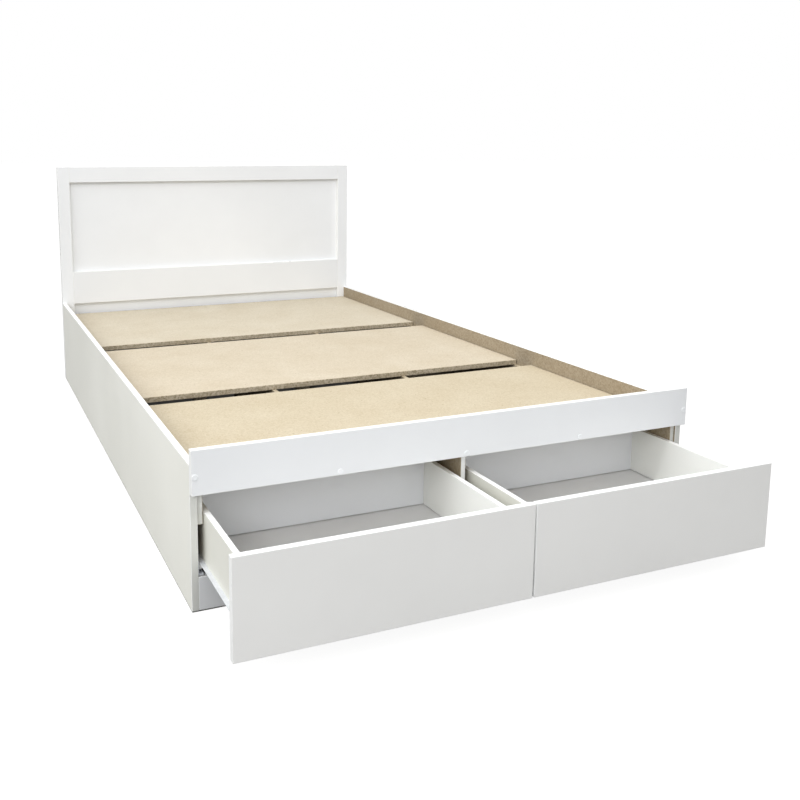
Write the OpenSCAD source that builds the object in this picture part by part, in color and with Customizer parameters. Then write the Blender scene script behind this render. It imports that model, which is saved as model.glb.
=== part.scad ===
// Flat-pack storage bed of melamine-faced chipboard. The origin is on the floor, at the middle
// of the footprint with both drawers drawn out. +Y runs from the foot to the headboard.

/* [Bed] */
// Outside width of the bed
bed_w = 1240; // [1100:10:1640]
// Length of the side panels, from their foot edge to the headboard
side_len = 2020; // [1900:10:2200]
// Height of the side panels
side_h = 306; // [296:2:336]
// Thickness of the outer boards
board_t = 15; // [12:1:18]
// Thickness of the inner boards and of the drawer boxes
thin_t = 12; // [10:1:15]

/* [Headboard] */
// Height of the headboard above the floor
head_h = 846; // [700:2:1100]
// Height of the top rail
top_rail_h = 60; // [40:2:90]
// Height of the bottom rail
bottom_rail_h = 128; // [90:2:180]
// Height of the underside of the bottom rail above the floor
bottom_rail_z = 303; // [290:1:330]
// Width of each stile
stile_w = 45; // [36:1:70]

/* [Foot end] */
// Height of the underside of the foot rail above the floor
foot_rail_z = 247; // [244:1:252]
// Height of the foot rail
foot_rail_h = 93; // [70:1:120]
// Height of the kick board
kick_h = 71; // [50:1:72]
// Clear depth of the drawer bays behind the kick board's front face
bay_depth = 425; // [415:5:500]

/* [Mattress base] */
// Height of the top of the base boards above the floor
base_z = 262; // [262:1:280]
// Thickness of the loose base boards
base_t = 15; // [12:1:15]
// Length of the base board at the foot
base_foot_len = 596; // [560:2:620]
// Length of the base board in the middle
base_mid_len = 608; // [560:2:640]
// Length of the base board at the head
base_head_len = 662; // [600:2:700]
// Height of the ledgers and the lengthwise beams
ledger_h = 68; // [50:1:70]
// Distance of each lengthwise beam from the centre line
beam_x = 204; // [150:2:300]

/* [Drawers] */
// How far the drawers are drawn out at rest
drawer_out = 257; // [150:1:300]
// Height of the drawer fronts
front_h = 195; // [180:1:200]
// Height of the underside of the drawer fronts above the floor
front_z = 39; // [30:1:42]
// Gap between the two drawer fronts
front_gap = 4; // [2:0.5:8]
// Length of the drawer sides and of the runners
drawer_len = 400; // [380:5:400]
// Height of the drawer sides
drawer_side_h = 122; // [100:1:130]
// Thickness of the drawer bottoms
bottom_t = 3; // [3:0.5:4]

/* [Runners] */
// Room between a drawer side and the board beside it
runner_room = 13.5; // [13.5:0.1:15]
// Radius of the nylon rollers
roller_r = 8; // [7:0.1:8]
// Thickness of the runner steel
steel_t = 1.2; // [1:0.1:1.5]

/* [Hidden] */
$fn = 40;

// Colours
white = [0.93, 0.93, 0.92];
raw_board = [0.84, 0.76, 0.64];
zinc = [0.70, 0.71, 0.72];
nylon = [0.96, 0.96, 0.94];

// Lines of the frame along Y
head_panel_t = thin_t;
foot_y = (drawer_out - side_len - head_panel_t) / 2;
head_y = foot_y + side_len;
panel_y = head_y + board_t;
bay_back_y = foot_y + bay_depth;
inner_x = bed_w / 2 - board_t;
ledger_top = base_z - base_t;
ledger_z = ledger_top - ledger_h;
ledger_inset = 5;
base_gap = (side_len - base_foot_len - base_mid_len - base_head_len - 2) / 2;

// Lines of the drawers, worked out for one side and mirrored for the other
front_t = board_t;
box_y = foot_y - drawer_out;
box_z = 83;
box_in_x = thin_t / 2 + runner_room;
box_out_x = inner_x - runner_room;
bottom_groove = 5;
bottom_z = box_z + bottom_groove;
bottom_gap = 1.8;
back_inset = 12;
back_y = box_y + drawer_len - back_inset - thin_t;

// Lines of the runners, measured from the board that the cabinet member is screwed to
track_z = 74;
track_lip = 4;
track_w = 10.5;
roller_w = 6.8;
roller_gap = 0.4;
pin_r = 2.5;
bore_clear = 0.05;
rear_roller_z = track_z + steel_t + roller_r + roller_gap;
cover_z = rear_roller_z + roller_r + roller_gap;
tread_z = 97.8;
front_roller_z = tread_z - roller_r - roller_gap;
front_roller_y = foot_y + 14;
rear_roller_y = box_y + drawer_len - 12;
stop_y = rear_roller_y - 53 - roller_r - 1;
runner_back = foot_y + 2 + drawer_len;

// Fasteners
screw_r = 2;
screw_head_r = 3.6;
screw_head_h = 2;
carcass_screw_r = 3.5;
carcass_screw_len = 50;
cap_r = 6.5;
cap_h = 1;
dowel_r = 4;

module box(low, high) {
    translate(low) cube(high - low);
}

module left_right() {
    children();
    mirror([1, 0, 0]) children();
}

// One turned part standing along an axis: "x", "y" or "z", or "-x" and "-y" for the other way
module along(axis) {
    turn = axis == "x" ? [0, 90, 0] : axis == "-x" ? [0, -90, 0]
        : axis == "y" ? [-90, 0, 0] : axis == "-y" ? [90, 0, 0] : [0, 0, 0];
    rotate(turn) children();
}

// A pan-head screw: its head stands on the origin's plane and its shank runs along +Z
module pan_screw(length) {
    translate([0, 0, -screw_head_h]) cylinder(h = screw_head_h, r = screw_head_r);
    cylinder(h = length, r = screw_r);
}

// A countersunk screw: its head is flush with the origin's plane and its shank runs along +Z
module flat_screw(length) {
    cylinder(h = screw_head_h, r1 = screw_head_r, r2 = screw_r);
    cylinder(h = length, r = screw_r);
}

// A one-piece connector screw: countersunk, with a thick shank, for the ends of boards
module carcass_screw() {
    cylinder(h = 4, r1 = 5, r2 = carcass_screw_r);
    cylinder(h = carcass_screw_len, r = carcass_screw_r);
}

// ---- Headboard ----

module headboard_panel() {
    color(white) box([-bed_w / 2, panel_y, 0], [bed_w / 2, panel_y + head_panel_t, head_h]);
}

module headboard_top_rail() {
    color(white) box([stile_w - bed_w / 2, head_y, head_h - top_rail_h],
                     [bed_w / 2 - stile_w, panel_y, head_h]);
}

module headboard_bottom_rail() {
    color(white) box([stile_w - bed_w / 2, head_y, bottom_rail_z],
                     [bed_w / 2 - stile_w, panel_y, bottom_rail_z + bottom_rail_h]);
}

module stile() {
    color(white) box([bed_w / 2 - stile_w, head_y, 0], [bed_w / 2, panel_y, head_h]);
}

module headboard_left_stile() {
    mirror([1, 0, 0]) stile();
}

module headboard_right_stile() {
    stile();
}

// Screws driven from the back of the panel into the rails and stiles
module headboard_screws() {
    rail_rows = [head_h - top_rail_h / 2, bottom_rail_z + bottom_rail_h / 2];
    rail_step = (bed_w - 2 * stile_w) / 5;
    stile_step = (head_h - 120) / 4;
    color(zinc) {
        for (z = rail_rows, i = [-2:2])
            translate([i * rail_step, panel_y + head_panel_t, z])
                along("-y") flat_screw(head_panel_t + 11);
        left_right()
            for (i = [0:4])
                translate([(bed_w - stile_w) / 2, panel_y + head_panel_t, 60 + i * stile_step])
                    along("-y") flat_screw(head_panel_t + 11);
    }
}

// ---- Sides and foot end ----

module side_panel() {
    color(white) box([inner_x, foot_y, 0], [bed_w / 2, head_y, side_h]);
}

module left_side_panel() {
    mirror([1, 0, 0]) side_panel();
}

module right_side_panel() {
    side_panel();
}

module foot_rail() {
    color(white) box([-bed_w / 2, foot_y - board_t, foot_rail_z],
                     [bed_w / 2, foot_y, foot_rail_z + foot_rail_h]);
}

module kick_board() {
    color(white) box([-inner_x, foot_y, 0], [inner_x, foot_y + board_t, kick_h]);
}

// The divider is notched at its foot to sit over the kick board
module centre_divider() {
    color(raw_board) difference() {
        box([-thin_t / 2, foot_y, 0], [thin_t / 2, bay_back_y, ledger_top]);
        box([-thin_t, foot_y - 1, -1], [thin_t, foot_y + board_t, kick_h]);
    }
}

// The panel behind the drawers is notched at its top corners to let the ledgers through
module bay_back_panel() {
    color(raw_board) difference() {
        box([-inner_x, bay_back_y, 0], [inner_x, bay_back_y + thin_t, ledger_top]);
        left_right()
            box([inner_x - thin_t, bay_back_y - 1, ledger_z],
                [inner_x + 1, bay_back_y + thin_t + 1, ledger_top + 1]);
    }
}

// Screw points of the foot rail: one into each side panel's edge, three into the base board
foot_screw_z = side_h - 21;
foot_screws = [
    for (s = [-1, 1]) [s * (inner_x + board_t / 2), foot_screw_z],
    for (i = [-1:1]) [i * bed_w * 0.245, base_z - base_t / 2]
];

// The headboard's screws pass through its panel and stiles into the side panels
module carcass_screws() {
    color(zinc) {
        for (p = foot_screws)
            translate([p[0], foot_y - board_t, p[1]]) along("y") carcass_screw();
        for (z = [60, 190])
            translate([0, bay_back_y + thin_t, z]) along("-y") carcass_screw();
        left_right()
            for (z = [45, 150, 265])
                translate([inner_x + board_t / 2, panel_y + head_panel_t, z])
                    along("-y") carcass_screw();
    }
}

module foot_rail_caps() {
    color(nylon)
        for (p = foot_screws)
            translate([p[0], foot_y - board_t, p[1]])
                along("-y") cylinder(h = cap_h, r1 = cap_r, r2 = cap_r - 0.8);
}

// ---- Base supports ----

// Each ledger starts a little behind the front edge of its side panel
module ledger() {
    color(raw_board) box([inner_x - thin_t, foot_y + ledger_inset, ledger_z],
                         [inner_x, head_y, ledger_top]);
}

module left_ledger() {
    mirror([1, 0, 0]) ledger();
}

module right_ledger() {
    ledger();
}

module beam() {
    color(raw_board) box([beam_x - thin_t / 2, bay_back_y + thin_t, ledger_z],
                         [beam_x + thin_t / 2, panel_y, ledger_top]);
}

module left_beam() {
    mirror([1, 0, 0]) beam();
}

module right_beam() {
    beam();
}

leg_w = 44;
glide_r = 12;
glide_h = 4;
beam_len = panel_y - bay_back_y - thin_t;
leg_points = [
    for (s = [-1, 1], i = [1, 2]) [s * beam_x, bay_back_y + thin_t + i * beam_len / 3]
];

module beam_legs() {
    color(raw_board)
        for (p = leg_points)
            box([p[0] - leg_w / 2, p[1] - leg_w / 2, glide_h],
                [p[0] + leg_w / 2, p[1] + leg_w / 2, ledger_z]);
}

module leg_glides() {
    color(nylon)
        for (p = leg_points)
            translate([p[0], p[1], 0]) cylinder(h = glide_h, r1 = glide_r - 1, r2 = glide_r);
}

// Angle brackets that carry both ends of each beam
bracket_leg = 32;
bracket_w = 24;
bracket_t = 2;

module angle_bracket() {
    box([0, 0, 0], [bracket_t, bracket_leg, bracket_w]);
    box([0, 0, 0], [bracket_leg, bracket_t, bracket_w]);
}

bracket_z = ledger_z + 20;

module beam_brackets() {
    color(zinc)
        left_right() {
            translate([beam_x + thin_t / 2, bay_back_y + thin_t, bracket_z]) angle_bracket();
            translate([beam_x + thin_t / 2, panel_y, bracket_z])
                mirror([0, 1, 0]) angle_bracket();
        }
}

// Moulded blocks behind the kick board and behind the bay's back panel, each screwed both ways
block = 22;
block_z = 24;
block_points = [
    [inner_x - block, foot_y + board_t, 1],
    [thin_t / 2, foot_y + board_t, -1],
    [inner_x - block, bay_back_y + thin_t, 1]
];

module corner_blocks() {
    color(nylon)
        left_right()
            for (p = block_points)
                box([p[0], p[1], block_z], [p[0] + block, p[1] + block, block_z + block]);
}

// Countersunk screws of the ledgers, and pan-head screws of the brackets and corner blocks
module frame_screws() {
    ledger_step = (side_len - 200) / 7;
    color(zinc)
        left_right() {
            for (i = [0:7])
                translate([inner_x - thin_t, foot_y + 100 + i * ledger_step, ledger_z + 15])
                    along("x") flat_screw(thin_t + 11);
            for (end = [[bay_back_y + thin_t, 1, "-y"], [panel_y, -1, "y"]]) {
                translate([beam_x + thin_t / 2 + bracket_t, end[0] + end[1] * bracket_leg * 0.65,
                           bracket_z + bracket_w / 2])
                    along("-x") pan_screw(bracket_t + 9);
                translate([beam_x + thin_t / 2 + bracket_leg * 0.65, end[0] + end[1] * bracket_t,
                           bracket_z + bracket_w / 2])
                    along(end[2]) pan_screw(bracket_t + 9);
            }
            for (p = block_points) {
                translate([p[0] + block / 2, p[1] + block, block_z + block * 0.75])
                    along("-y") pan_screw(block + 9);
                translate([p[0] + (p[2] > 0 ? 0 : block), p[1] + block / 2, block_z + block * 0.25])
                    along(p[2] > 0 ? "x" : "-x") pan_screw(block + (p[2] > 0 ? 11 : 4));
            }
        }
}

module base_board(start, length) {
    side_clear = 2;
    color(raw_board) box([side_clear - inner_x, start, ledger_top],
                         [inner_x - side_clear, start + length, base_z]);
}

module base_board_foot() {
    base_board(foot_y + 1, base_foot_len);
}

module base_board_middle() {
    base_board(foot_y + 1 + base_foot_len + base_gap, base_mid_len);
}

module base_board_head() {
    base_board(head_y - 1 - base_head_len, base_head_len);
}

// Glued dowels that line the side panels up with the stiles
module dowels() {
    color(raw_board)
        left_right()
            for (z = [95, 205])
                translate([inner_x + board_t / 2, head_y - 20, z])
                    along("y") cylinder(h = 31, r = dowel_r);
}

// ---- Runners ----
// Local frame of a runner: x from the board that the cabinet member is screwed to, towards the
// drawer; y and z as in the bed.

module cabinet_member() {
    start = foot_y + 2;
    cover_start = front_roller_y + roller_r + 4;
    color(white) {
        box([0, start, track_z], [steel_t, runner_back, tread_z + 4]);
        box([0, start, track_z], [track_w, runner_back, track_z + steel_t]);
        box([track_w - steel_t, start, track_z], [track_w, runner_back, track_z + track_lip]);
        box([0, cover_start, cover_z], [track_w - 1, runner_back, cover_z + steel_t]);
        translate([0, front_roller_y, front_roller_z]) along("x") {
            cylinder(h = roller_w + 3.4, r = pin_r);
            translate([0, 0, roller_w + 2.4]) cylinder(h = 1, r = pin_r + 1.5);
        }
        box([steel_t, stop_y - 4, track_z + steel_t], [5, stop_y, track_z + steel_t + 4]);
    }
}

module drawer_member() {
    face = runner_room;
    color(white) {
        box([face - steel_t, box_y, box_z - steel_t], [face, box_y + drawer_len, tread_z + steel_t]);
        box([3.5, box_y, tread_z], [face, box_y + drawer_len, tread_z + steel_t]);
        box([face - steel_t, box_y, box_z - steel_t],
            [face + thin_t, box_y + drawer_len, box_z]);
        translate([1.6, rear_roller_y, rear_roller_z])
            along("x") cylinder(h = face - 1.6, r = pin_r);
    }
}

module roller(y, z) {
    color(nylon) translate([steel_t + 0.9, y, z]) along("x") difference() {
        cylinder(h = roller_w, r = roller_r);
        translate([0, 0, -1]) cylinder(h = roller_w + 2, r = pin_r + bore_clear);
    }
}

module front_roller() {
    roller(front_roller_y, front_roller_z);
}

module rear_roller() {
    roller(rear_roller_y, rear_roller_z);
}

// The four places of a runner: on a side panel or on the divider, left or right
module outer_left() {
    translate([-inner_x, 0, 0]) children();
}

module inner_left() {
    translate([-thin_t / 2, 0, 0]) mirror([1, 0, 0]) children();
}

module inner_right() {
    translate([thin_t / 2, 0, 0]) children();
}

module outer_right() {
    translate([inner_x, 0, 0]) mirror([1, 0, 0]) children();
}

module left_outer_cabinet_runner() {
    outer_left() cabinet_member();
}

module left_inner_cabinet_runner() {
    inner_left() cabinet_member();
}

module right_inner_cabinet_runner() {
    inner_right() cabinet_member();
}

module right_outer_cabinet_runner() {
    outer_right() cabinet_member();
}

module left_outer_front_roller() {
    outer_left() front_roller();
}

module left_inner_front_roller() {
    inner_left() front_roller();
}

module right_inner_front_roller() {
    inner_right() front_roller();
}

module right_outer_front_roller() {
    outer_right() front_roller();
}

module cabinet_member_screws() {
    for (y = [foot_y + 40, foot_y + 230, foot_y + 370])
        translate([steel_t, y, rear_roller_z])
            along("-x") flat_screw(steel_t + (y == foot_y + 230 ? 3.5 : 4.5));
}

module runner_screws() {
    color(zinc) {
        outer_left() cabinet_member_screws();
        inner_left() cabinet_member_screws();
        inner_right() cabinet_member_screws();
        outer_right() cabinet_member_screws();
    }
}

// ---- Drawers ----
// Each piece is drawn for the right-hand drawer and mirrored for the left-hand one.

module drawer_front() {
    color(white) box([front_gap / 2, box_y - front_t, front_z],
                     [bed_w / 2 - 2, box_y, front_z + front_h]);
}

// A drawer side has a groove on its inner face, taller than the bottom that slides into it
module drawer_side(x, groove_x) {
    groove_d = bottom_groove;
    color(white) difference() {
        box([x, box_y, box_z], [x + thin_t, box_y + drawer_len, box_z + drawer_side_h]);
        box([groove_x, box_y - 1, bottom_z - 0.1],
            [groove_x + groove_d, box_y + drawer_len + 1, bottom_z + bottom_t + bottom_gap]);
    }
}

module drawer_outer_side() {
    drawer_side(box_out_x - thin_t, box_out_x - thin_t - 0.001);
}

module drawer_inner_side() {
    drawer_side(box_in_x, box_in_x + thin_t - bottom_groove + 0.001);
}

module drawer_back() {
    color(white) box([box_in_x + thin_t, back_y, bottom_z + bottom_t + bottom_gap],
                     [box_out_x - thin_t, back_y + thin_t, box_z + drawer_side_h]);
}

module drawer_bottom() {
    color(white) box([box_in_x + thin_t - bottom_groove + 0.5, box_y, bottom_z],
                     [box_out_x - thin_t + bottom_groove - 0.5, back_y + thin_t,
                      bottom_z + bottom_t]);
}

// Glued dowels that hold the front to the ends of the sides
module drawer_dowels() {
    color(raw_board)
        for (x = [box_in_x, box_out_x - thin_t], z = [box_z + 30, box_z + drawer_side_h - 30])
            translate([x + thin_t / 2, box_y - 11, z])
                along("y") cylinder(h = 31, r = dowel_r);
}

// Screws through the sides into the back, and the ones that hold the runners from below
module drawer_screws() {
    color(zinc) {
        for (z = [box_z + 35, box_z + drawer_side_h - 25]) {
            translate([box_out_x, back_y + thin_t / 2, z]) along("-x") flat_screw(thin_t + 26);
            translate([box_in_x, back_y + thin_t / 2, z]) along("x") flat_screw(thin_t + 26);
        }
        for (y = [box_y + 60, box_y + drawer_len - 60], x = [box_in_x, box_out_x - thin_t])
            translate([x + thin_t / 2, y, box_z - steel_t]) along("z") pan_screw(steel_t + 3.5);
    }
}

module left_drawer_front() {
    mirror([1, 0, 0]) drawer_front();
}

module left_drawer_outer_side() {
    mirror([1, 0, 0]) drawer_outer_side();
}

module left_drawer_inner_side() {
    mirror([1, 0, 0]) drawer_inner_side();
}

module left_drawer_back() {
    mirror([1, 0, 0]) drawer_back();
}

module left_drawer_bottom() {
    mirror([1, 0, 0]) drawer_bottom();
}

module left_drawer_dowels() {
    mirror([1, 0, 0]) drawer_dowels();
}

module left_drawer_screws() {
    mirror([1, 0, 0]) drawer_screws();
}

module left_outer_drawer_runner() {
    outer_left() drawer_member();
}

module left_inner_drawer_runner() {
    inner_left() drawer_member();
}

module left_outer_rear_roller() {
    outer_left() rear_roller();
}

module left_inner_rear_roller() {
    inner_left() rear_roller();
}

module right_drawer_front() {
    drawer_front();
}

module right_drawer_outer_side() {
    drawer_outer_side();
}

module right_drawer_inner_side() {
    drawer_inner_side();
}

module right_drawer_back() {
    drawer_back();
}

module right_drawer_bottom() {
    drawer_bottom();
}

module right_drawer_dowels() {
    drawer_dowels();
}

module right_drawer_screws() {
    drawer_screws();
}

module right_inner_drawer_runner() {
    inner_right() drawer_member();
}

module right_outer_drawer_runner() {
    outer_right() drawer_member();
}

module right_inner_rear_roller() {
    inner_right() rear_roller();
}

module right_outer_rear_roller() {
    outer_right() rear_roller();
}

headboard_panel();
headboard_top_rail();
headboard_bottom_rail();
headboard_left_stile();
headboard_right_stile();
left_side_panel();
right_side_panel();
foot_rail();
kick_board();
centre_divider();
bay_back_panel();
left_ledger();
right_ledger();
left_beam();
right_beam();
beam_legs();
leg_glides();
base_board_foot();
base_board_middle();
base_board_head();
carcass_screws();
foot_rail_caps();
headboard_screws();
frame_screws();
dowels();
beam_brackets();
corner_blocks();
left_outer_cabinet_runner();
left_inner_cabinet_runner();
right_inner_cabinet_runner();
right_outer_cabinet_runner();
runner_screws();
left_drawer_front();
left_drawer_outer_side();
left_drawer_inner_side();
left_drawer_back();
left_drawer_bottom();
left_outer_drawer_runner();
left_inner_drawer_runner();
left_drawer_dowels();
left_drawer_screws();
right_drawer_front();
right_drawer_outer_side();
right_drawer_inner_side();
right_drawer_back();
right_drawer_bottom();
right_outer_drawer_runner();
right_inner_drawer_runner();
right_drawer_dowels();
right_drawer_screws();
left_outer_front_roller();
left_inner_front_roller();
left_outer_rear_roller();
left_inner_rear_roller();
right_outer_front_roller();
right_inner_front_roller();
right_outer_rear_roller();
right_inner_rear_roller();
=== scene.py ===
"""A low storage bed of white melamine-faced chipboard: framed headboard, loose base boards and two
drawers on roller runners under the foot end."""

import math

import bmesh
import bpy
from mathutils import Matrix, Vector


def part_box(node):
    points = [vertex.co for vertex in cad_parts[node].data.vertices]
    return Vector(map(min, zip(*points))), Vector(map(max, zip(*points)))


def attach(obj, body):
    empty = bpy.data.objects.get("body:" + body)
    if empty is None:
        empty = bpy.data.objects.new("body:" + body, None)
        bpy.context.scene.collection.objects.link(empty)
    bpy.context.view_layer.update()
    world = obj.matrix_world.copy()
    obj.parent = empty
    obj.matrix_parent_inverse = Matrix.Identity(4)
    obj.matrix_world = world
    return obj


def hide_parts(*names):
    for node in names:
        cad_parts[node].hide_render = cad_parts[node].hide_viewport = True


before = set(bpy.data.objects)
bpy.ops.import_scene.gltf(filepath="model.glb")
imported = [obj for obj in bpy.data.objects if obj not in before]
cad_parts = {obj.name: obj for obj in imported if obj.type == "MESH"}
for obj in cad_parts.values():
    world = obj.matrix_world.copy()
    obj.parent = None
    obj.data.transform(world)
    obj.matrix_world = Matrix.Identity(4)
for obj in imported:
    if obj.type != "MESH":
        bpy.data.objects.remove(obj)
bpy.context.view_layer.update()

# ---- White melamine-faced chipboard ------------------------------------------------------------
# Decor paper soaked in melamine resin and pressed onto chipboard. The eye gets an even white, a
# little cooler on some faces and nearer ivory on others, with a satin sheen and the fine orange
# peel of the press plate.


def linear(hex_colour):
    """An sRGB hex colour as the linear colour that the shader takes."""
    parts = [int(hex_colour[i:i + 2], 16) / 255 for i in (1, 3, 5)]
    return (*[p / 12.92 if p <= 0.04045 else ((p + 0.055) / 1.055) ** 2.4 for p in parts], 1.0)


def add(tree, kind, inputs=None, **settings):
    """A shader node with its settings; an input takes a value or another node's output."""
    node = tree.nodes.new("ShaderNode" + kind)
    for name, value in settings.items():
        setattr(node, name, value)
    for socket, value in (inputs or {}).items():
        if isinstance(value, bpy.types.NodeSocket):
            tree.links.new(value, node.inputs[socket])
        else:
            node.inputs[socket].default_value = value
    return node


def ramp(node, *stops):
    """Gives a Color Ramp its stops, each a place from 0 to 1 and a hex colour."""
    elements = node.color_ramp.elements
    while len(elements) < len(stops):
        elements.new(0.5)
    for element, (place, colour) in zip(elements, stops):
        element.position = place
        element.color = linear(colour)
    return node


def new_material(name):
    """An empty material, the shader tree that the caller fills, its output, and the place on the
    piece that patterns are drawn at."""
    material = bpy.data.materials.new(name)
    material.use_nodes = True
    tree = material.node_tree
    tree.nodes.clear()
    return material, tree, add(tree, "OutputMaterial"), add(tree, "TexCoord").outputs["Object"]


def melamine(name, colour, shade, roughness):
    """Pressed melamine: an even white with a cloudy drift and the press plate's peel."""
    material, tree, output, place = new_material(name)
    # The peel is about 0.5 mm on the real board. It is drawn at 4 mm so that it shows.
    peel_mm = 4.0
    peel = add(tree, "TexNoise", {"Vector": place, "Scale": 1000.0 / peel_mm, "Detail": 3.0})
    drift = add(tree, "TexNoise", {"Vector": place, "Scale": 2.6, "Detail": 4.0, "Roughness": 0.6})
    tint = ramp(add(tree, "ValToRGB", {"Fac": drift.outputs["Fac"]}), (0.35, shade), (0.65, colour))
    sheen = add(tree, "MapRange", {"Value": drift.outputs["Fac"], "From Min": 0.3, "From Max": 0.7,
                                   "To Min": roughness - 0.05, "To Max": roughness + 0.06})
    bump = add(tree, "Bump", {"Height": peel.outputs["Fac"], "Strength": 0.1, "Distance": 0.0003})
    face = add(tree, "BsdfPrincipled", {
        "Base Color": tint.outputs["Color"], "Roughness": sheen.outputs["Result"],
        "Normal": bump.outputs["Normal"]})
    tree.links.new(face.outputs["BSDF"], output.inputs["Surface"])
    return material


white_melamine = melamine("white_melamine_face", "#EEF0F2", "#EAECEE", 0.36)
cool_melamine = melamine("cool_white_melamine_face", "#E9EBED", "#E6E8EA", 0.34)
ivory_melamine = melamine("ivory_melamine_face", "#EEEEE7", "#EAEAE2", 0.38)
white_edge_band = melamine("white_abs_edge_band", "#F3F4F3", "#F0F1F0", 0.30)
# The same white band drawn grey, as painted shade for front edges that stand in shade.
shaded_edge_band = melamine("white_abs_edge_band_painted_shade", "#DBDCD7", "#D6D7D2", 0.34)

# ---- Raw chipboard -----------------------------------------------------------------------------
# Wood chips and dust pressed with resin and sanded. The eye gets a pale tan crowd of fine chips
# with a few dark flecks of bark, and a coarser, darker, pitted core along each sawn edge.


def chipboard(name, chips, flecks, chip_mm, depth_mm):
    """Pressed chips: cells of four tones, a cloudy drift and a few dark flecks."""
    # The chips of a real face are 1 to 2 mm across, and are drawn larger so that they show. A
    # fleck lies in about one in seven of its own larger cells, and is about 2 mm in radius.
    fleck_rarity, fleck_radius, fleck_strength = 0.86, 0.13, 0.5
    material, tree, output, place = new_material(name)
    # Chips lie at all angles, so their cells are bent by a noise before they are drawn.
    bend = add(tree, "TexNoise", {"Vector": place, "Scale": 90.0, "Detail": 2.0})
    bent = add(tree, "VectorMath", {0: bend.outputs["Color"], "Scale": 0.006}, operation="SCALE")
    moved = add(tree, "VectorMath", {0: place, 1: bent.outputs["Vector"]}, operation="ADD")
    cells = add(tree, "TexVoronoi", {"Vector": moved.outputs["Vector"], "Scale": 1000.0 / chip_mm,
                                     "Randomness": 1.0})
    tone = add(tree, "SeparateColor", {"Color": cells.outputs["Color"]})
    colours = ramp(add(tree, "ValToRGB", {"Fac": tone.outputs["Red"]}), *chips)
    drift = add(tree, "TexNoise", {"Vector": place, "Scale": 7.0, "Detail": 5.0, "Roughness": 0.62})
    cloud = ramp(add(tree, "ValToRGB", {"Fac": drift.outputs["Fac"]}),
                 (0.3, "#F6F3EE"), (0.7, "#FFFFFF"))
    clouded = add(tree, "Mix", {0: 1.0, 6: colours.outputs["Color"], 7: cloud.outputs["Color"]},
                  data_type="RGBA", blend_type="MULTIPLY")
    spots = add(tree, "TexVoronoi", {"Vector": moved.outputs["Vector"], "Scale": 62.0})
    chance = add(tree, "SeparateColor", {"Color": spots.outputs["Color"]})
    rare = add(tree, "Math", {0: chance.outputs["Green"], 1: fleck_rarity},
               operation="GREATER_THAN")
    small = add(tree, "Math", {0: spots.outputs["Distance"], 1: fleck_radius},
                operation="LESS_THAN")
    fleck = add(tree, "Math", {0: rare.outputs["Value"], 1: small.outputs["Value"]},
                operation="MULTIPLY")
    faint = add(tree, "Math", {0: fleck.outputs["Value"], 1: fleck_strength},
                operation="MULTIPLY")
    tint = add(tree, "Mix", {0: faint.outputs["Value"], 6: clouded.outputs[2], 7: linear(flecks)},
               data_type="RGBA")
    bump = add(tree, "Bump", {"Height": cells.outputs["Distance"], "Strength": 0.35,
                              "Distance": depth_mm / 1000})
    face = add(tree, "BsdfPrincipled", {"Base Color": tint.outputs[2], "Roughness": 0.82,
                                        "Normal": bump.outputs["Normal"]})
    tree.links.new(face.outputs["BSDF"], output.inputs["Surface"])
    return material


backing_chipboard = chipboard(
    "raw_chipboard_inner_face",
    ((0.0, "#8F826C"), (0.25, "#968974"), (0.6, "#9D917C"), (1.0, "#A49884")), "#63533B", 4.0, 0.2)
sawn_chipboard = chipboard(
    "sawn_chipboard_edge",
    ((0.0, "#958972"), (0.3, "#AA9E87"), (0.6, "#B8AC95"), (1.0, "#C6BBA6")), "#5A4D38", 4.0, 0.8)

# ---- Headboard ---------------------------------------------------------------------------------
# A frame of two rails and two stiles screwed from behind onto a full back panel. Each board is
# sawn, faced on its broad sides and edge-banded, with the band's corners scraped round.

DIRECTIONS = {"-X": (-1, 0, 0), "+X": (1, 0, 0), "-Y": (0, -1, 0),
              "+Y": (0, 1, 0), "-Z": (0, 0, -1), "+Z": (0, 0, 1)}


def piece(name, mesh, body, slot, *nodes):
    """Puts a finished mesh on its body, in the place of the CAD nodes that it stands for."""
    thing = bpy.data.objects.new(name, mesh)
    bpy.context.scene.collection.objects.link(thing)
    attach(thing, body)
    if nodes:
        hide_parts(*nodes)
    return thing


def finish_board(node, form, finishes, body, slot):
    """Faces a board's sides with their finishes and puts it in the place of its CAD node."""
    materials = list(dict.fromkeys(finishes.values()))
    for face in form.faces:
        face.material_index = materials.index(finishes["edges"])
        for side, finish in finishes.items():
            if side != "edges" and face.normal.dot(Vector(DIRECTIONS[side])) > 0.99:
                face.material_index = materials.index(finish)
    mesh = bpy.data.meshes.new(node + "_mesh")
    form.to_mesh(mesh)
    form.free()
    for material in materials:
        mesh.materials.append(material)
    return piece(node + "_board", mesh, body, slot, node)


# An edge band's corner is scraped about 0.9 mm round.
corner_ease = 0.0009


def board(node, finishes, body="frame", slot="white_melamine", ease=corner_ease):
    """A board in its CAD node's place. finishes gives a material to each side that is named, and
    the one under "edges" to the rest and to the eased corners."""
    low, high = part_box(node)
    form = bmesh.new()
    bmesh.ops.create_cube(form, size=1.0)
    bmesh.ops.scale(form, vec=high - low, verts=form.verts)
    bmesh.ops.translate(form, vec=(low + high) / 2, verts=form.verts)
    bmesh.ops.bevel(form, geom=form.edges[:], offset=ease, segments=2, profile=0.5,
                    affect="EDGES", material=-1)
    return finish_board(node, form, finishes, body, slot)


faced = {"-Y": white_melamine, "+Y": white_melamine, "edges": white_edge_band}
faced_cool = {"-Y": cool_melamine, "+Y": cool_melamine, "edges": white_edge_band}
for part in ("headboard_panel", "headboard_top_rail", "headboard_left_stile",
             "headboard_right_stile"):
    board(part, faced)
board("headboard_bottom_rail", faced_cool)
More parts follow.
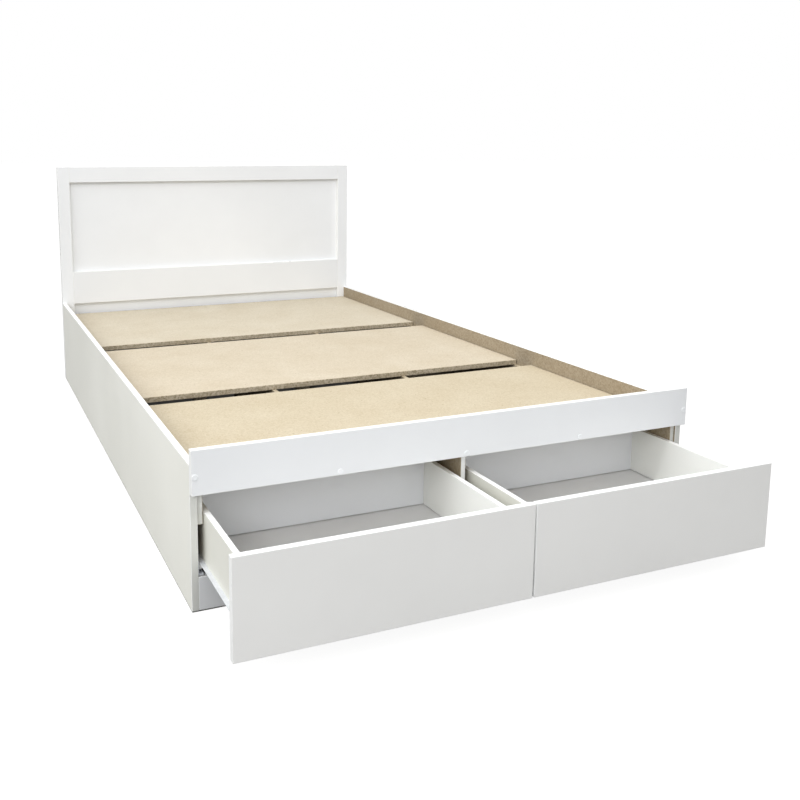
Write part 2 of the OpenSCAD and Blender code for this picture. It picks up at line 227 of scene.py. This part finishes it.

# ---- Side panels, foot rail and kick board -----------------------------------------------------
# Chipboard faced with white melamine. The side panels and the kick board are raw on their inner
# faces. Visible edges are banded, and the ones that stand on the floor are sawn and left bare.

# The side panels' front edges take the grey band, a painted shade.
board("left_side_panel", {"-X": ivory_melamine, "+X": backing_chipboard,
                          "-Y": shaded_edge_band, "-Z": sawn_chipboard, "edges": white_edge_band})
board("right_side_panel", {"+X": ivory_melamine, "-X": backing_chipboard,
                           "-Y": shaded_edge_band, "-Z": sawn_chipboard, "edges": white_edge_band})
board("foot_rail", faced_cool)
board("kick_board", {"-Y": white_melamine, "+Y": backing_chipboard,
                     "-Z": sawn_chipboard, "edges": white_edge_band})

# ---- Divider and back of the drawer bays -------------------------------------------------------
# Two boards of thin raw chipboard. The divider sits over the kick board in a sawn notch and has a
# white band on its front edge; the back panel is notched at its top corners for the ledgers.


def cut_board(node, outline, along, finishes, body="frame", slot="raw_chipboard",
              ease=corner_ease):
    """A board cut to an outline, which lies across one axis and is drawn out along the node's
    whole extent on that axis. Each outline point leaves that axis out."""
    low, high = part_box(node)
    axis = "XYZ".index(along)
    form = bmesh.new()
    corners = []
    for first, second in outline:
        point = [first, second]
        point.insert(axis, low[axis])
        corners.append(form.verts.new(point))
    face = form.faces.new(corners)
    drawn = bmesh.ops.extrude_face_region(form, geom=[face])
    step = [0.0, 0.0, 0.0]
    step[axis] = high[axis] - low[axis]
    bmesh.ops.translate(form, vec=step,
                        verts=[v for v in drawn["geom"] if isinstance(v, bmesh.types.BMVert)])
    bmesh.ops.recalc_face_normals(form, faces=form.faces)
    bmesh.ops.bevel(form, geom=form.edges[:], offset=ease, segments=2, profile=0.5,
                    affect="EDGES", material=-1)
    return finish_board(node, form, finishes, body, slot)


low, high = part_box("centre_divider")
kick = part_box("kick_board")[1]
cut_board("centre_divider",
          [(low.y, kick.z), (kick.y, kick.z), (kick.y, low.z), (high.y, low.z),
           (high.y, high.z), (low.y, high.z)],
          "X", {"-X": backing_chipboard, "+X": backing_chipboard, "-Y": white_edge_band,
                "edges": sawn_chipboard})

low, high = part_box("bay_back_panel")
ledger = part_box("right_ledger")[0]
cut_board("bay_back_panel",
          [(low.x, low.z), (high.x, low.z), (high.x, ledger.z), (ledger.x, ledger.z),
           (ledger.x, high.z), (-ledger.x, high.z), (-ledger.x, ledger.z), (low.x, ledger.z)],
          "Y", {"-Y": backing_chipboard, "+Y": backing_chipboard, "edges": sawn_chipboard})

# ---- Ledgers, beams and legs -------------------------------------------------------------------
# Strips sawn from thin raw chipboard and screwed to the side panels or hung on brackets. The
# ledgers' front ends are banded, and each leg is a sawn post on a nylon glide.

# The ledgers' front ends take the same grey band, a painted shade.
for strip in ("left_ledger", "right_ledger", "left_beam", "right_beam"):
    board(strip, {"-X": backing_chipboard, "+X": backing_chipboard,
                  "-Y": shaded_edge_band if "ledger" in strip else sawn_chipboard,
                  "edges": sawn_chipboard}, slot="raw_chipboard")


def paint(node, material):
    """Gives a CAD node that is shown as it is its material."""
    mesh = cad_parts[node].data
    mesh.materials.clear()
    mesh.materials.append(material)


def moulded(name, colour, shade, roughness, grain_mm):
    """Moulded or sprayed plastic: an even colour, and a fine spark-eroded or orange-peel grain."""
    # The grain is well under 1 mm on the real parts, and is drawn larger so that it shows.
    material, tree, output, place = new_material(name)
    grain = add(tree, "TexNoise", {"Vector": place, "Scale": 1000.0 / grain_mm, "Detail": 2.0})
    drift = add(tree, "TexNoise", {"Vector": place, "Scale": 40.0, "Detail": 3.0})
    tint = ramp(add(tree, "ValToRGB", {"Fac": drift.outputs["Fac"]}), (0.35, shade), (0.65, colour))
    bump = add(tree, "Bump", {"Height": grain.outputs["Fac"], "Strength": 0.2, "Distance": 0.0002})
    rough = add(tree, "MapRange", {"Value": grain.outputs["Fac"], "To Min": roughness - 0.08,
                                   "To Max": roughness + 0.08})
    face = add(tree, "BsdfPrincipled", {
        "Base Color": tint.outputs["Color"], "Roughness": rough.outputs["Result"],
        "Normal": bump.outputs["Normal"]})
    tree.links.new(face.outputs["BSDF"], output.inputs["Surface"])
    return material


white_nylon = moulded("moulded_white_nylon", "#F1F1EC", "#E6E6E0", 0.45, 1.5)
paint("beam_legs", sawn_chipboard)
paint("leg_glides", white_nylon)

# ---- Base boards -------------------------------------------------------------------------------
# Three loose sheets of raw chipboard that carry the mattress, dropped onto the ledgers and beams
# with gaps between them. Their faces are sanded, and their sawn edges crumble a little.

# Sheets of chipboard differ a little in tone, so each of the three has its own.
for sheet, tones in (("base_board_foot", ("#B9AD94", "#BFB39B", "#C4B9A1", "#C9BEA8")),
                     ("base_board_middle", ("#BFB49E", "#C5BAA5", "#CABFAB", "#CFC5B2")),
                     ("base_board_head", ("#C0B6A2", "#C6BDA9", "#CBC2AF", "#D0C7B5"))):
    sanded = chipboard(sheet + "_sanded_face", list(zip((0.0, 0.25, 0.6, 1.0), tones)),
                       "#857150", 3.0, 0.1)
    board(sheet, {"+Z": sanded, "-Z": sanded, "edges": sawn_chipboard},
          slot="raw_chipboard", ease=0.0012)

# ---- Screws, caps, brackets and dowels ---------------------------------------------------------
# Zinc-plated chipboard screws with countersunk or pan heads, and thicker one-piece connector screws.
# Their heads are left plain, with no recess for the driver. The foot rail's screws are hidden under
# pressed-in caps, and the dowels inside the boards.


def plated(name, colour, shade):
    """Bright zinc plate: a bluish grey metal with faint blotches from the passivating bath."""
    material, tree, output, place = new_material(name)
    blotch = add(tree, "TexNoise", {"Vector": place, "Scale": 180.0, "Detail": 4.0})
    tint = ramp(add(tree, "ValToRGB", {"Fac": blotch.outputs["Fac"]}), (0.3, shade), (0.7, colour))
    rough = add(tree, "MapRange", {"Value": blotch.outputs["Fac"], "To Min": 0.24, "To Max": 0.44})
    face = add(tree, "BsdfPrincipled", {"Base Color": tint.outputs["Color"], "Metallic": 1.0,
                                        "Roughness": rough.outputs["Result"]})
    tree.links.new(face.outputs["BSDF"], output.inputs["Surface"])
    return material


bright_zinc = plated("bright_zinc_plate", "#C9CCD0", "#B3B6BA")
for node in ("carcass_screws", "headboard_screws", "frame_screws", "beam_brackets"):
    paint(node, bright_zinc)
paint("foot_rail_caps", moulded("moulded_cover_caps", "#EEF0F2", "#E9ECEE", 0.4, 1.5))
paint("corner_blocks", white_nylon)
paint("dowels", sawn_chipboard)

# ---- Drawers -----------------------------------------------------------------------------------
# Each box has thin melamine-faced sides and back, a lacquered hardboard bottom in grooves, and a
# faced and banded front on glued dowels. The sides' top edges are banded, and the bottom's
# underside is left raw and brown.

drawer_melamine = melamine("white_melamine_drawer_sides", "#E7E8E4", "#E2E3DF", 0.42)
# The drawers' outer sides are a warm ivory drawn darker, as painted shade where light from the left
# is kept off them.
shaded_ivory_drawer_melamine = melamine("ivory_melamine_drawer_sides_painted_shade", "#E2E2DA", "#DCDCD3", 0.42)
drawer_back_melamine = melamine("white_melamine_drawer_backs", "#E4E6E9", "#DFE1E4", 0.42)
front_melamine = melamine("white_melamine_drawer_fronts", "#F1F1EF", "#EDEDEB", 0.36)
lacquered_board = melamine("white_lacquered_hardboard", "#E3E3E3", "#D9D9D9", 0.34)

for hand in ("left", "right"):
    body = hand + "_drawer"
    board(hand + "_drawer_front", {"-Y": front_melamine, "+Y": front_melamine,
                                   "edges": white_edge_band}, body)
    bottom_low, bottom_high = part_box(hand + "_drawer_bottom")
    back_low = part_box(hand + "_drawer_back")[0]
    for wall in ("outer_side", "inner_side"):
        node = f"{hand}_drawer_{wall}"
        low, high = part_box(node)
        if low.x < bottom_low.x:
            outer, inner, groove, faces = low.x, high.x, bottom_low.x, ("-X", "+X")
        else:
            outer, inner, groove, faces = high.x, low.x, bottom_high.x, ("+X", "-X")
        cut_board(node,
                  [(outer, low.z), (inner, low.z), (inner, bottom_low.z), (groove, bottom_low.z),
                   (groove, back_low.z), (inner, back_low.z), (inner, high.z), (outer, high.z)],
                  "Y", {faces[0]: shaded_ivory_drawer_melamine, faces[1]: drawer_melamine,
                        "edges": white_edge_band}, body, "white_melamine", ease=0.0006)
    board(hand + "_drawer_back", {"-Y": drawer_back_melamine, "+Y": ivory_melamine,
                                  "edges": white_edge_band}, body, ease=0.0006)
    board(hand + "_drawer_bottom", {"+Z": lacquered_board, "-Z": backing_chipboard,
                                    "edges": sawn_chipboard}, body, ease=0.0003)
    paint(hand + "_drawer_screws", bright_zinc)
    paint(hand + "_drawer_dowels", sawn_chipboard)

# ---- Runners and rollers -----------------------------------------------------------------------
# Folded steel with a white epoxy coat and nylon rollers on riveted pins. The cabinet member carries
# a roller at its front end and the drawer member one at its rear end.

# The white coat is drawn bluish grey, a painted shade with a bluish reflection that sets the
# runner's web apart from the drawer side.
epoxy_coat_painted_shade = moulded("white_epoxy_steel_painted_shade", "#DCDFE3", "#D3D7DC", 0.3, 2.0)
for runner in ("left_outer", "left_inner", "right_inner", "right_outer"):
    paint(runner + "_cabinet_runner", epoxy_coat_painted_shade)
    paint(runner + "_drawer_runner", epoxy_coat_painted_shade)
    paint(runner + "_front_roller", white_nylon)
    paint(runner + "_rear_roller", white_nylon)
paint("runner_screws", bright_zinc)

# ---- Room, light and camera --------------------------------------------------------------------
# A pale seamless floor under a bright soft sky. Two broad lights stand at the left and front left,
# a smaller one hangs overhead, and a small lamp hangs just beyond the foot end.

room = bpy.data.worlds.new("studio")
bpy.context.scene.world = room
room.use_nodes = True
room_tree = room.node_tree
room_tree.nodes.clear()
# The sky is brighter overhead and to the left, and white where it is looked at.
horizon_strength, zenith_strength, brighter_side = 0.563, 1.305, (-0.465, -0.098, 0.0)
way = add(room_tree, "TexCoord").outputs["Generated"]
lean = add(room_tree, "VectorMath", {0: way, 1: brighter_side}, operation="DOT_PRODUCT")
height = add(room_tree, "SeparateXYZ", {"Vector": way}).outputs["Z"]
above = add(room_tree, "MapRange", {"Value": height, "To Min": horizon_strength,
                                    "To Max": zenith_strength})
light = add(room_tree, "Math", {0: lean.outputs["Value"], 1: above.outputs["Result"]},
            operation="ADD")
seen = add(room_tree, "LightPath").outputs["Is Camera Ray"]
strength = add(room_tree, "Mix", {0: seen, 2: light.outputs["Value"], 3: 1.0}, data_type="FLOAT")
sky = add(room_tree, "Background", {"Color": linear("#FFFFFF"), "Strength": strength.outputs[0]})
room_tree.links.new(sky.outputs["Background"], add(room_tree, "OutputWorld").inputs["Surface"])

# The floor lies 0.6 mm under the boards' lower edges, so that no two faces share a plane.
floor_reach, floor_drop = 60.0, 0.0006
form = bmesh.new()
bmesh.ops.create_grid(form, x_segments=1, y_segments=1, size=floor_reach)
bmesh.ops.translate(form, vec=(0, 0, -floor_drop), verts=form.verts)
floor_mesh = bpy.data.meshes.new("floor_mesh")
form.to_mesh(floor_mesh)
form.free()
floor = bpy.data.objects.new("floor", floor_mesh)
bpy.context.scene.collection.objects.link(floor)
floor_paint, tree, output, place = new_material("pale_studio_floor")
cloud = add(tree, "TexNoise", {"Vector": place, "Scale": 0.8, "Detail": 2.0})
pale = ramp(add(tree, "ValToRGB", {"Fac": cloud.outputs["Fac"]}), (0.3, "#FAFAFA"), (0.7, "#FCFCFC"))
# The camera sees a white sweep that glows. Under the bed, between its side panels and from the kick
# board to the headboard, the glow is cut off as painted shade, so only the dim matt floor shows
# there. To the bed itself the floor is a dim grey.
sweep_strength, bed_side, bed_foot, bed_head = 0.96, 0.62, -0.89, 1.15
near = add(tree, "SeparateXYZ", {"Vector": place})
wide = add(tree, "Math", {0: near.outputs["X"]}, operation="ABSOLUTE")
outside = add(tree, "Math", {0: wide.outputs["Value"], 1: bed_side},
              operation="GREATER_THAN")
before = add(tree, "Math", {0: near.outputs["Y"], 1: bed_foot}, operation="LESS_THAN")
behind = add(tree, "Math", {0: near.outputs["Y"], 1: bed_head}, operation="GREATER_THAN")
ends = add(tree, "Math", {0: before.outputs["Value"], 1: behind.outputs["Value"]},
           operation="MAXIMUM")
# The glow is masked off under the bed, a painted shade.
clear = add(tree, "Math", {0: outside.outputs["Value"], 1: ends.outputs["Value"]},
            operation="MAXIMUM")
power = add(tree, "Math", {0: clear.outputs["Value"], 1: sweep_strength}, operation="MULTIPLY")
matt = add(tree, "BsdfDiffuse", {"Color": linear("#6A6A68")})
glow = add(tree, "Emission", {"Color": pale.outputs["Color"], "Strength": power.outputs["Value"]})
glow_and_matt = add(tree, "AddShader", {0: matt.outputs["BSDF"], 1: glow.outputs["Emission"]})
dim = add(tree, "BsdfDiffuse", {"Color": linear("#7C7C7C")})
looked_at = add(tree, "LightPath").outputs["Is Camera Ray"]
sweep = add(tree, "MixShader", {0: looked_at, 1: dim.outputs["BSDF"], 2: glow_and_matt.outputs["Shader"]})
tree.links.new(sweep.outputs["Shader"], output.inputs["Surface"])
floor_mesh.materials.append(floor_paint)


def soft_light(name, place, aim, size, power):
    """A broad square light at a place, turned to its aim."""
    lamp = bpy.data.lights.new(name, "AREA")
    lamp.shape = "SQUARE"
    lamp.size = size
    lamp.energy = power
    holder = bpy.data.objects.new(name, lamp)
    holder.location = place
    holder.rotation_euler = (Vector(aim) - Vector(place)).to_track_quat("-Z", "Y").to_euler()
    bpy.context.scene.collection.objects.link(holder)


soft_light("overhead_softbox", (0.9, -0.3, 2.7), (0.4, 0.5, 0.2), 0.8, 6.4)
soft_light("front_left_softbox", (-2.6, -3.0, 1.9), (0.0, -0.9, 0.3), 1.4, 29.6)
soft_light("left_softbox", (-3.2, -0.3, 2.2), (0.0, 0.0, 0.3), 1.8, 23.8)
soft_light("small_lamp", (-0.3, -1.64, 2.7), (0.1, -0.8, 0.1), 0.2, 21.6)

lens = bpy.data.cameras.new("camera")
lens.sensor_width = 36.0
lens.lens = 40.65
lens.shift_x = 0.105
lens.shift_y = -0.135
lens.clip_end = 200.0
camera = bpy.data.objects.new("camera", lens)
camera.location = (-1.0274, -2.5422, 0.9132)
camera.rotation_euler = (math.radians(81.06), 0.0, math.radians(-22.19))
bpy.context.scene.collection.objects.link(camera)
bpy.context.scene.camera = camera
bpy.context.scene.view_settings.view_transform = "Standard"
